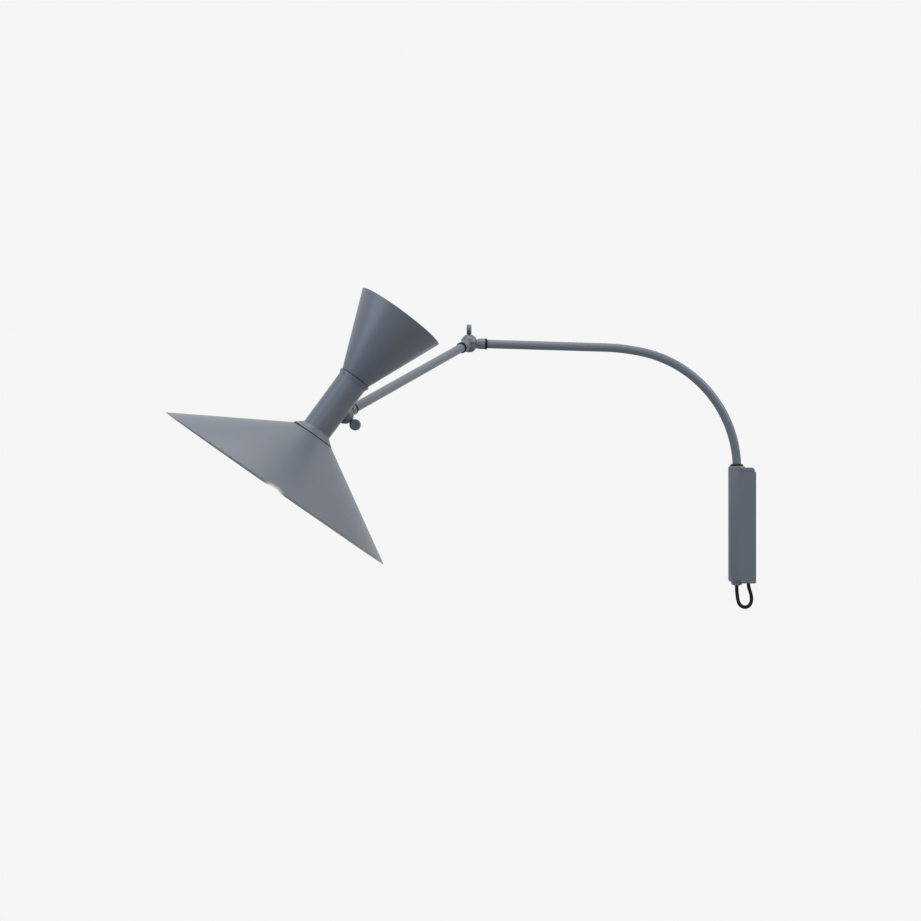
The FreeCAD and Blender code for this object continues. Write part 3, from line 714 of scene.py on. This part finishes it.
# outlines are lists of (radius, height, rounding)
bracketTrim = {
    "topBush": {"place": barrelSeat, "finish": blackPolymer, "outline": [
        (6.05, 64), (8.45, 64, 0.3), (8.45, 80.08), (9.2, 80.12, 0.3), (9.2, 81.6, 0.5), (7.4, 82.9, 0.8),
        (6.9, 82.9, 0.2), (6.5, 82.5, 0.2), (6.05, 82.5, 0.1)]},
    "bottomPlug": {"place": barrelSeat, "finish": paint, "outline": [
        (2.55, -74.0), (8.45, -74.0, 0.4), (8.45, -79.3), (7.6, -79.45), (7.6, -82.4, 1.2), (5.6, -84.6, 1.6),
        (3.2, -84.9, 0.4), (2.55, -84.5, 0.2)]},
    "cableGrommet": {"place": Matrix.Translation((bracket["grommetX"] * mm, 0, 0)) @ bracketSeat,
                     "finish": blackRubber, "around": 48, "outline": [
        (2.55, -81.4, 0.15), (3.0, -81.5, 0.15), (3.25, -81.3, 0.1), (3.25, -77.5, 0.15),
        (2.55, -77.5, 0.2)]},
}


def makeTurned(pieces, body, finish=None):
    # pieces turned about Z, some with a thread or grip ribs
    for name, p in pieces.items():
        finish = p.get("finish", finish)
        piece = lathe(name, p["outline"], p.get("around", 96))
        for key, tree in (("thread", threadTree), ("ribs", ribTree)):
            if key in p:
                piece = grown(piece, tree, {**p[key], "Material": finish})
        settle(piece, p["place"], body, finish)


def arcAbout(x, radius, first, last, steps):
    turns = [first + (last - first) * k / steps for k in range(steps + 1)]
    return [(x + radius * math.cos(turn), radius * math.sin(turn)) for turn in turns]


def makeBracketBody():
    # the barrel and the box behind it are one extrusion, its flanks flush
    b = bracket
    barrel = lathe("barrel", [
        (b["barrelR"], b["barrelLow"], b["lowRound"]), (b["barrelR"], b["barrelHigh"], b["highRound"]),
        (b["boreR"], b["barrelHigh"], b["boreRound"]), (b["boreR"], b["barrelLow"], b["boreRound"])],
        b["barrelAround"])
    barrel.data.transform(Matrix.Translation((b["barrelX"], 0, 0)))
    half = b["half"]
    inner = half - b["wall"]
    front = -b["depth"] + b["wall"]
    # the flanks start just under the barrel's skin and dive into its wall
    skinR = b["barrelR"] - b["tuck"]
    wallR = (b["barrelR"] + b["boreR"]) / 2
    meets = math.asin(half / b["barrelR"])
    tucked = meets + b["tuckTurn"]
    dived = meets + b["diveTurn"]
    channel = slab("channel", [
        (0, -half), *arcAbout(b["barrelX"], skinR, -meets, -tucked, 3),
        *arcAbout(b["barrelX"], wallR, -dived, dived, 40), *arcAbout(b["barrelX"], skinR, tucked, meets, 3),
        (0, half), (0, inner), (front, inner, b["innerRound"]), (front, -inner, b["innerRound"]),
        (0, -inner)], b["low"], b["high"])
    settle(joined("bracketBody", [barrel, channel]), bracketSeat, "wall_bracket", paint)


def makeCap(name, low, high, top):
    b = bracket
    notch = b["barrelR"] + b["capGap"]
    spread = math.asin(b["half"] / notch)
    rear = -b["topInset"] if top else 0
    curve = arcAbout(b["barrelX"], notch, -spread, spread, 36)
    cap = slab(name, [(rear, -b["half"]), *curve, (rear, b["half"])], low, high)
    outer = high if top else low
    near = 1e-3
    bm = bmesh.new()
    bm.from_mesh(cap.data)
    edges = [e for e in bm.edges
             if all(abs(v.co.x - rear) < near and abs(v.co.z - outer) < near for v in e.verts)]
    bmesh.ops.bevel(bm, geom=edges, offset=b["capRound"] if top else b["bottomRound"],
                    segments=b["roundSteps"], affect="EDGES", profile=0.5)
    bm.to_mesh(cap.data)
    bm.free()
    softened(cap, b["capEdge"])
    sink = lathe("sink", b["screwSink"], 48)
    shaped(cap, turnLocal(sink, (*b["screwAt"], outer), (0, 0, 1 if top else -1)))
    if not top:
        shaped(cap, post("mouth", (b["grommetX"], 0, low - 5), (0, 0, 1), b["grommetHole"], 20))
    settle(cap, bracketSeat, "wall_bracket", paint)


def makeBracketScrews():
    b = bracket
    screws = []
    for z, way, length in ((b["capHigh"] - b["screwRecess"], 1, b["topScrewLong"]),
                           (b["capLow"] + b["screwRecess"], -1, b["bottomScrewLong"])):
        spot = meshPiece("capScrews", [(*b["screwAt"], z)], [])
        screws.append(grown(spot, screwTree, {
            **capScrew, "Length": length, "Direction": (0, 0, way), "Material": zincSteel}))
    settle(joined("capScrews", screws), bracketSeat, "wall_bracket", zincSteel)
    screws = grown(meshPiece("terminalScrews", terminalSpots, []), screwTree, {
        **terminalScrew, "Direction": (-1, 0, 0), "Material": brass})
    settle(screws, bracketSeat, "wall_bracket", brass)


makeBracketBody()
makeCap("topCap", bracket["high"], bracket["capHigh"], True)
makeCap("bottomCap", bracket["capLow"], bracket["low"], False)
makeTurned(bracketTrim, "wall_bracket")
makeBracketScrews()
print("wall bracket made")


# ---- tubes ----

tubes = {
    "bore": 4.5, "wall": 1.5, "sides": 56, "weld": 1e-5,
    # bends are (radius, degrees)
    "upper": {"footX": -25.2, "low": -60.0, "bendStart": 83.0, "endShort": 14.65,
              "bends": [(94.0, 6.0), (165.5, 71.7), (290.0, 10.6)]},
    "lower": {"from": 14.65, "to": 357.1},
}


def pathCurve(name, points):
    curve = bpy.data.curves.new(name, "CURVE")
    curve.dimensions = "3D"
    spline = curve.splines.new("POLY")
    spline.points.add(len(points) - 1)
    for spot, place in zip(spline.points, points):
        spot.co = (*place, 1)
    return linked(name, curve)


def makeTubes():
    # the bend starts tight, sweeps round and ends slack, as a tube leaves its bending die
    u = tubes["upper"]
    here = Vector((u["footX"], 0, u["bendStart"]))
    path = [Vector((u["footX"], 0, u["low"])), here]
    turned = 0.0
    for radius, angle in u["bends"]:
        centre = here - Vector((math.cos(turned), 0, math.sin(turned))) * radius
        steps = math.ceil(angle)
        for k in range(1, steps + 1):
            turn = turned + math.radians(angle) * k / steps
            path.append(centre + Vector((math.cos(turn), 0, math.sin(turn))) * radius)
        here = path[-1]
        turned += math.radians(angle)
    run = Vector((-math.sin(turned), 0, math.cos(turned)))
    path.append(elbow / mm - run * u["endShort"])
    lower = tubes["lower"]
    straight = [(0, 0, lower["from"]), (0, 0, lower["to"])]
    size = {"Bore": tubes["bore"], "Wall": tubes["wall"], "Sides": tubes["sides"], "Material": paint}
    for name, points, place, body in (("upperArmTube", path, bracketSeat, "upper_arm"),
                                      ("lowerArmTube", straight, armSeat, "lower_arm")):
        tube = grown(pathCurve(name, points), tubeTree, size)
        tidyNormals(tube, tubes["weld"])
        settle(tube, place, body, paint)
    return run


upperRun = makeTubes()
print("tubes made")


# ---- knuckles ----

knuckle = {
    "radius": 11.4, "half": 12.1, "flat": 4.2, "gap": 0.5, "below": 4.0, "neck": 6.7, "neckFrom": 0.5,
    "neckLong": 12.9, "saddleNeckLong": 16.8, "shoulderAt": (2, 3.5), "shoulderR": 5.6, "shoulderLong": 11.6,
    "collar": 7.4, "collarFrom": 13.1, "collarTo": 22.3, "collarRound": 0.5, "socketFrom": 14.6,
    "socketCut": 14.0, "socketLong": 10, "tubeSocket": 6.05, "pinSocket": 4.75, "screwHole": 2.75,
    "holeFrom": {-1: -10, 1: -1}, "cutR": 11.8, "cutLong": 30, "voxel": 0.28, "blend": 5,
}
saddlePad = {"padFrom": 11, "padR": 11.5, "padLong": 20, "shellR": 21.6, "shellLow": -20, "shellLong": 50,
             "neckOutline": [(0, -35), (18.2, -35), (18.6, 36), (0, 36)]}
sealRing = {"inner": 6.05, "outer": 7.6, "from": 22.35, "to": 25.0, "innerRound": 0.25, "backRound": 0.3,
            "frontRound": 0.55, "further": 2.4, "closer": 0.3}
thumbScrew = {
    "blade": 6.9, "thick": 6.8, "edge": 1.7, "centre": 19.3, "dish": 0.35,
    "slope": (0.55, 0.1, 1.5), "brim": (0.8, 1.0), "above": 0.15, "neck": 2.6, "neckLong": 3.0,
    "neckPeak": 3.4, "shank": 2.3, "foot": -9.8, "footInset": 0.5, "footLong": 0.7, "overlap": 1.0,
    "voxel": 0.22, "blend": 3,
    "thread": {"Length": 9.0, "Pitch": 0.8, "Thickness": 0.18},
}


def ballOutline(k):
    # a ball drawn out to a small flat at its top
    high = k["half"] - k["gap"]
    sweep = k["radius"] - k["flat"]
    curve = (sweep ** 2 + high ** 2) / (2 * sweep)
    end = math.asin(high / curve)
    steps = 24
    turns = [end * i / steps for i in range(steps + 1)]
    arc = [(k["radius"] - curve * (1 - math.cos(turn)), k["gap"] + curve * math.sin(turn)) for turn in turns]
    return [(0, -k["below"]), (k["radius"], -k["below"]), *arc, (0, k["half"])]


def makeKnuckle(name, side, rise, bore, shoulder=False, saddle=None, longer=0.0):
    k = knuckle
    collarTo = k["collarTo"] + longer
    along = Vector((math.cos(math.radians(rise)), 0, math.sin(math.radians(rise))))
    ball = lathe(name, ballOutline(k))
    if side < 0:
        ball.data.transform(Matrix.Scale(-1, 4, (0, 0, 1)))
        tidyNormals(ball)
    neckLong = k["saddleNeckLong"] if saddle else k["neckLong"]
    blanks = [ball, post("neck", along * k["neckFrom"], along, k["neck"], neckLong)]
    if shoulder:
        x, z = k["shoulderAt"]
        lift = Vector((x, 0, side * z))
        away = along * k["collarFrom"] - lift
        blanks.append(post("shoulder", lift, away, k["shoulderR"], k["shoulderLong"]))
    if saddle:
        blanks.append(saddle["pad"])
    half = castSkin(joined(name, blanks), k["voxel"], k["blend"])
    shaped(half, post("otherHalf", (0, 0, k["gap"] * side), (0, 0, -side), k["cutR"], k["cutLong"], 96))
    shaped(half, post("screwHole", (0, 0, k["holeFrom"][side]), (0, 0, 1), k["screwHole"], k["cutLong"]))
    if saddle:
        shaped(half, saddle["barrel"])
        return half
    shaped(half, post("socket", along * k["socketCut"], along, bore, k["socketLong"]))
    collar = lathe("collar", [
        (0, k["collarFrom"]), (k["collar"], k["collarFrom"], k["collarRound"]),
        (k["collar"], collarTo, k["collarRound"]), (bore, collarTo, 0.2), (bore, k["socketFrom"]),
        (0, k["socketFrom"])], 80)
    return joined(name, [half, turnLocal(collar, (0, 0, 0), along)])


def makeSaddle():
    # the head's half grows a pad that lies on the neck tube
    s = saddlePad
    toLocal = seat(headKnuckle, neckSide, tiltAxis).inverted()
    boss = (toLocal.to_3x3() @ bossDir).normalized()
    axis = (toLocal.to_3x3() @ headAxis).normalized()
    centre = toLocal @ neckCentre
    pad = post("pad", boss * s["padFrom"], boss, s["padR"], s["padLong"], 96)
    shell = post("shell", centre + axis * s["shellLow"], axis, s["shellR"], s["shellLong"], 128)
    shaped(pad, shell, "INTERSECT")
    return {"pad": pad, "barrel": turnLocal(lathe("barrel", s["neckOutline"], 160), centre, axis)}


def makeThumbScrew(name):
    t = thumbScrew
    middle = t["thick"] / 2
    share, drop, soft = t["slope"]
    brim, brimSoft = t["brim"]
    face = [(0, middle - t["dish"]), (t["blade"] * share, middle - drop, soft),
            (t["blade"] * brim, middle, brimSoft), (t["blade"], middle, t["edge"])]
    blade = lathe(name, [(r, -z, *rest) for r, z, *rest in face] + face[::-1], 80)
    turnLocal(blade, (0, 0, t["centre"]), (0, 1, 0))
    bottom = knuckle["half"] + t["above"]
    neck = lathe("neck", [(0, bottom), (t["neck"], bottom), (t["neck"], bottom + t["neckLong"]),
                          (0, bottom + t["neckPeak"])], 64)
    top = castSkin(joined(name, [blade, neck]), t["voxel"], t["blend"])
    overlap = t["overlap"]
    shank = lathe("shank", [(0, t["foot"]), (t["shank"] - t["footInset"], t["foot"]),
                            (t["shank"], t["foot"] + t["footLong"]), (t["shank"], bottom + overlap),
                            (0, bottom + overlap)], 48)
    shank = grown(shank, threadTree, {
        "Radius": t["shank"], "Start": t["foot"] + overlap, "Material": paint, **t["thread"]})
    return joined(name, [top, shank])


def makeSealRing(name, place, body):
    s = sealRing
    ring = lathe(name, [
        (s["inner"], s["from"]), (s["outer"], s["from"], s["backRound"]),
        (s["outer"], s["to"], s["frontRound"]), (s["inner"], s["to"], s["innerRound"])], 80)
    settle(ring, place, body, blackRubber)


def makeElbow():
    run = math.degrees(math.asin(-upperRun.z))
    side = makeKnuckle("elbowLowerHalf", -1, run, knuckle["tubeSocket"])
    settle(side, seat(elbow, Vector((1, 0, 0)), up), "upper_arm", paint)
    droop = math.degrees(math.asin(armDir.z))
    further = sealRing["further"]
    side = makeKnuckle("elbowUpperHalf", 1, droop, knuckle["tubeSocket"], shoulder=True, longer=further)
    settle(side, seat(elbow, heading, up), "lower_arm", paint)
    settle(makeThumbScrew("elbowScrew"), seat(elbow, Vector((0, 1, 0)), up), "elbow_screw", paint)
    makeSealRing("upperArmRing", seat(elbow, up, -upperRun), "upper_arm")
    makeSealRing("lowerArmRing", seat(elbow + armDir * further * mm, up, armDir), "lower_arm")


def makeHeadKnuckle():
    side = makeKnuckle("swivelHalf", 1, 0, knuckle["pinSocket"])
    settle(side, seat(headKnuckle, -armDir, tiltAxis), "head_swivel", paint)
    side = makeKnuckle("headHalf", -1, -headPose["rise"], 1.0, saddle=makeSaddle())
    settle(side, seat(headKnuckle, neckSide, tiltAxis), "head", paint)
    face = Vector((0, 1, 0)).cross(tiltAxis).normalized()
    settle(makeThumbScrew("headScrew"), seat(headKnuckle, face, tiltAxis), "head_screw", paint)
    closer = headKnuckle - armDir * sealRing["closer"] * mm
    makeSealRing("lowerArmEndRing", seat(closer, up, -armDir), "lower_arm")


makeElbow()
makeHeadKnuckle()
print("knuckles made")


# ---- head ----

neck = {"high": 42.0, "lowR": 18.2, "midR": 18.6, "midZ": 36.0, "topR": 20.8, "lip": 0.6, "flareR": 27.3,
        "flareZ": -35.0, "flareEnd": (28.2, -42.7), "wall": 1.4, "flareRound": 3.0, "midRound": 2.0,
        "around": 160, "trimmer": {"low": -45, "radius": 32, "high": 3}}
shades = {
    "lowerShade": {"baseR": 27.3, "baseZ": -43.0, "rimR": 158.8, "rimZ": -121.5, "flangeIn": 17.0,
                   "around": 288, "place": shadeSeat},
    "upperShade": {"baseR": 19.1, "baseZ": 42.8, "rimR": 57.0, "rimZ": 135.4, "flangeIn": 13.6,
                   "around": 192, "place": headSeat},
}
shadeSheet = {"thick": 1.0, "flange": 1.2, "lip": 1.2, "lipHeight": 0.8, "liningFrom": 0.6}
gaskets = {
    "lowerGasket": {"place": shadeSeat, "around": 128, "outline": [
        (17.5, -42.95), (26.8, -42.95, 0.2), (26.8, -42.05, 0.2), (17.5, -42.05)]},
    "upperGasket": {"place": headSeat, "around": 128, "outline": [
        (14.3, 42.05), (18.7, 42.05, 0.15), (18.7, 42.75, 0.15), (14.3, 42.75)]},
}
holders = {
    "lowerLampholder": {"place": headSeat, "outline": [
        (13.4, -50, 0.4), (16.4, -50, 0.4), (16.4, -17, 1.0), (13.4, -14, 1.0), (5.05, -14), (5.05, -23),
        (13.4, -23, 0.6)],
        "thread": {"Radius": 16.05, "Start": -49.0, "Length": 12.0, "Pitch": 2.0, "Thickness": 0.35}},
    "upperLampholder": {"place": headSeat, "around": 80, "outline": [
        (7.6, 50, 0.4), (13.0, 50, 0.4), (13.0, 17, 1.0), (10.0, 14, 1.0), (5.05, 14), (5.05, 30),
        (7.6, 30, 0.6)],
        "thread": {"Radius": 12.65, "Start": 40.0, "Length": 9.0, "Pitch": 1.6, "Thickness": 0.35}},
    "lowerClampRing": {"place": shadeSeat, "around": 120, "outline": [
        (16.7, -44.25), (22.0, -44.25, 0.4), (22.0, -46.5, 0.3), (20.5, -48, 0.4), (16.7, -48, 0.4)],
        "ribs": {"Count": 40, "Radius": 20.6, "Rib": 0.45, "Height": 1.9, "Middle": -46.9}},
    "upperClampRing": {"place": headSeat, "outline": [
        (13.05, 44.05), (17.4, 44.05, 0.3), (17.4, 46.5, 0.3), (16.4, 47.5, 0.3), (13.05, 47.5, 0.3)],
        "ribs": {"Count": 32, "Radius": 16.4, "Rib": 0.4, "Height": 1.6, "Middle": 46.5}},
}


def makeNeck():
    n = neck
    inner = n["lowR"] - n["wall"]
    flareR, flareLow = n["flareEnd"]
    shell = lathe("neckHousing", [
        (flareR, flareLow), (n["lowR"], n["flareZ"], n["flareRound"]), (n["midR"], n["midZ"], n["midRound"]),
        (n["topR"], n["high"] - n["lip"], 0.3), (n["topR"], n["high"], 0.25), (inner, n["high"], 0.3),
        (inner, n["flareZ"] + 0.5, 1.5), (n["flareR"] - n["wall"] * 1.4, flareLow)], n["around"])
    # the flare's end is cut square to the lower shade
    trimmer = n["trimmer"]
    face = post("face", (0, 0, trimmer["low"]), (0, 0, 1), trimmer["radius"], trimmer["high"])
    face.data.transform(headSeat.inverted() @ shadeSeat)
    settle(shaped(shell, face), headSeat, "head", neckPaint)


def makeShade(name):
    s = shades[name]
    sheet = shadeSheet
    way = 1 if s["rimZ"] > s["baseZ"] else -1
    slope = (s["rimR"] - s["baseR"]) / abs(s["rimZ"] - s["baseZ"])
    wall = sheet["thick"] * math.sqrt(1 + slope ** 2)
    flange = s["baseZ"] + way * sheet["flange"]
    lip = s["rimR"] - wall - sheet["lip"]
    lipZ = s["rimZ"] - way * sheet["lipHeight"]

    def insideShade(r, z):
        outer = s["baseR"] + slope * abs(z - s["baseZ"])
        return r < outer - wall * sheet["liningFrom"]

    shell = lathe(name, [
        (s["flangeIn"], s["baseZ"], 0.2), (s["baseR"], s["baseZ"], 0.5), (s["rimR"], s["rimZ"], 0.3),
        (lip, s["rimZ"], 0.25), (lip, lipZ, 0.15), (s["rimR"] - wall - sheet["lipHeight"] * slope, lipZ, 0.4),
        (s["baseR"] - wall + slope * sheet["flange"], flange, 0.8), (s["flangeIn"], flange, 0.3)],
        s["around"], insideShade)
    settle(shell, s["place"], "head", shadePaint)


bulbs = {
    "lowerBulb": {"capR": 13.2, "back": -23.5, "front": -51.0, "neck": 12.4, "globeR": 27.5, "end": -112.0,
                  "pitch": 3.6},
    "upperBulb": {"capR": 7.2, "back": 30.5, "front": 51.0, "neck": 6.6, "globeR": 22.5, "end": 108.0,
                  "pitch": 2.4},
}
bulbShape = {"thread": 0.75, "contactR": 3.6, "collarR": 4.2, "gap": 0.1, "joinTurn": 40, "straight": 0.65,
             "shoulderSteps": 12, "globeSteps": 24}


def makeBulbCap(name, b, way):
    core = b["capR"] - bulbShape["thread"]
    skirt = b["capR"] - 0.3
    back, front = b["back"], b["front"]
    cap = lathe(name + "Cap", [
        (0, back), (bulbShape["contactR"], back, 0.6), (bulbShape["collarR"], back + way * 1.6),
        (core - 0.6, back + way * 3.4, 0.5), (core, back + way * 5.0, 0.5), (core, front - way * 3.0),
        (skirt, front - way * 2.4, 0.4), (skirt, front, 0.3), (0, front)])
    low = min(back + way * 5.5, front - way * 4.5)
    cap = grown(cap, threadTree, {
        "Radius": core - 0.1, "Start": low, "Length": abs(front - back) - 10.0, "Pitch": b["pitch"],
        "Thickness": bulbShape["thread"], "Material": bulbCapMetal})
    settle(cap, headSeat, "head", bulbCapMetal)


def makeBulbGlobe(name, b, way):
    shape = bulbShape
    middle = b["end"] - way * b["globeR"]
    start = b["front"] + way * shape["gap"]
    join = math.radians(shape["joinTurn"])
    throatR = b["globeR"] * math.cos(join)
    throatZ = middle - way * b["globeR"] * math.sin(join)
    outline = [(0, start), (b["neck"], start)]
    # the shoulder runs into the ball along a smooth S
    for k in range(1, shape["shoulderSteps"]):
        t = k / shape["shoulderSteps"]
        ease = t * t * (3 - 2 * t)
        r = b["neck"] + (throatR - b["neck"]) * ((1 - shape["straight"]) * ease + shape["straight"] * t)
        outline.append((r, start + (throatZ - start) * t))
    for k in range(shape["globeSteps"] + 1):
        turn = -join + (math.pi / 2 + join) * k / shape["globeSteps"]
        outline.append((max(0.0, b["globeR"] * math.cos(turn)), middle + way * b["globeR"] * math.sin(turn)))
    settle(lathe(name + "Globe", outline), headSeat, "head", opalGlobe, crease=60)


makeNeck()
makeTurned(gaskets, "head", blackRubber)
for shadeName in shades:
    makeShade(shadeName)
makeTurned(holders, "head", holderPlastic)
for bulbName, bulb in bulbs.items():
    bulbWay = 1 if bulb["end"] > bulb["back"] else -1
    makeBulbCap(bulbName, bulb, bulbWay)
    makeBulbGlobe(bulbName, bulb, bulbWay)
print("head made")


# ---- the frame's own pieces that stay ----

carried = {
    zincSteel: ["wall_plate", "retaining_ring", "upper_grub_screw", "swivel_grub_screw", "saddle_screws",
                "swivel_pin", "lampholder_bridge", "threaded_tube", "bridge_nuts"],
    blackPolymer: ["bottom_bush", "thrust_washer", "elbow_washer", "head_washer"],
    cableSheath: ["barrel_lead", "box_lead", "upper_arm_cable", "lower_arm_cable"],
    terminalPlastic: ["terminal_block"],
}


def dressNodes():
    for finish, names in carried.items():
        for name in names:
            for holder in frame["nodes"][name].material_slots:
                holder.material = finish


dressNodes()


# ---- floor, lamps and background ----

def makeFloor():
    floor = studio["floor"]
    x, y = floor["centre"]
    half = floor["half"]
    soft = floor["corner"]
    corners = [(x + i * half, y + k * half, soft) for i, k in ((-1, -1), (1, -1), (1, 1), (-1, 1))]
    sheet = slab("floor", corners, floor["height"] - floor["thick"], floor["height"])
    material = bpy.data.materials.new("palePaper")
    material.use_nodes = True
    shader = material.node_tree.nodes["Principled BSDF"]
    shader.inputs["Base Color"].default_value = (*floor["colour"], 1)
    shader.inputs["Roughness"].default_value = floor["roughness"]
    sheet.data.materials.append(material)


def makeLamps():
    for name, lamp in studio["lamps"].items():
        data = bpy.data.lights.new(name, "AREA")
        data.shape = "DISK"
        data.size = lamp["size"]
        data.energy = lamp["power"]
        data.color = lamp["colour"]
        light = linked(name, data)
        light.location = lamp["place"]
        aim = Vector(lamp["aim"]) - Vector(lamp["place"])
        light.rotation_euler = aim.to_track_quat("-Z", "Y").to_euler()


def makeWorld():
    world = bpy.data.worlds.new("studioWorld")
    world.use_nodes = True
    scene.world = world
    tree = world.node_tree
    tree.nodes.clear()
    # the camera, gloss and glass see the pale background, and the lamp itself a weaker light
    rays = addNode(tree, "ShaderNodeLightPath").outputs
    seen = reckon(tree, "MAXIMUM", rays["Is Camera Ray"], rays["Is Glossy Ray"])
    seen = reckon(tree, "MAXIMUM", seen, rays["Is Transmission Ray"])
    ambient = nodeOut(tree, "ShaderNodeBackground", {"Color": (1, 1, 1, 1), "Strength": studio["ambient"]})
    shown = nodeOut(tree, "ShaderNodeBackground", {"Color": (*studio["background"], 1), "Strength": 1.0})
    mix = nodeOut(tree, "ShaderNodeMixShader", {0: seen, 1: ambient, 2: shown})
    addNode(tree, "ShaderNodeOutputWorld", {"Surface": mix})
    scene.view_settings.view_transform = "Standard"


makeFloor()
makeLamps()
makeWorld()
print("studio made")
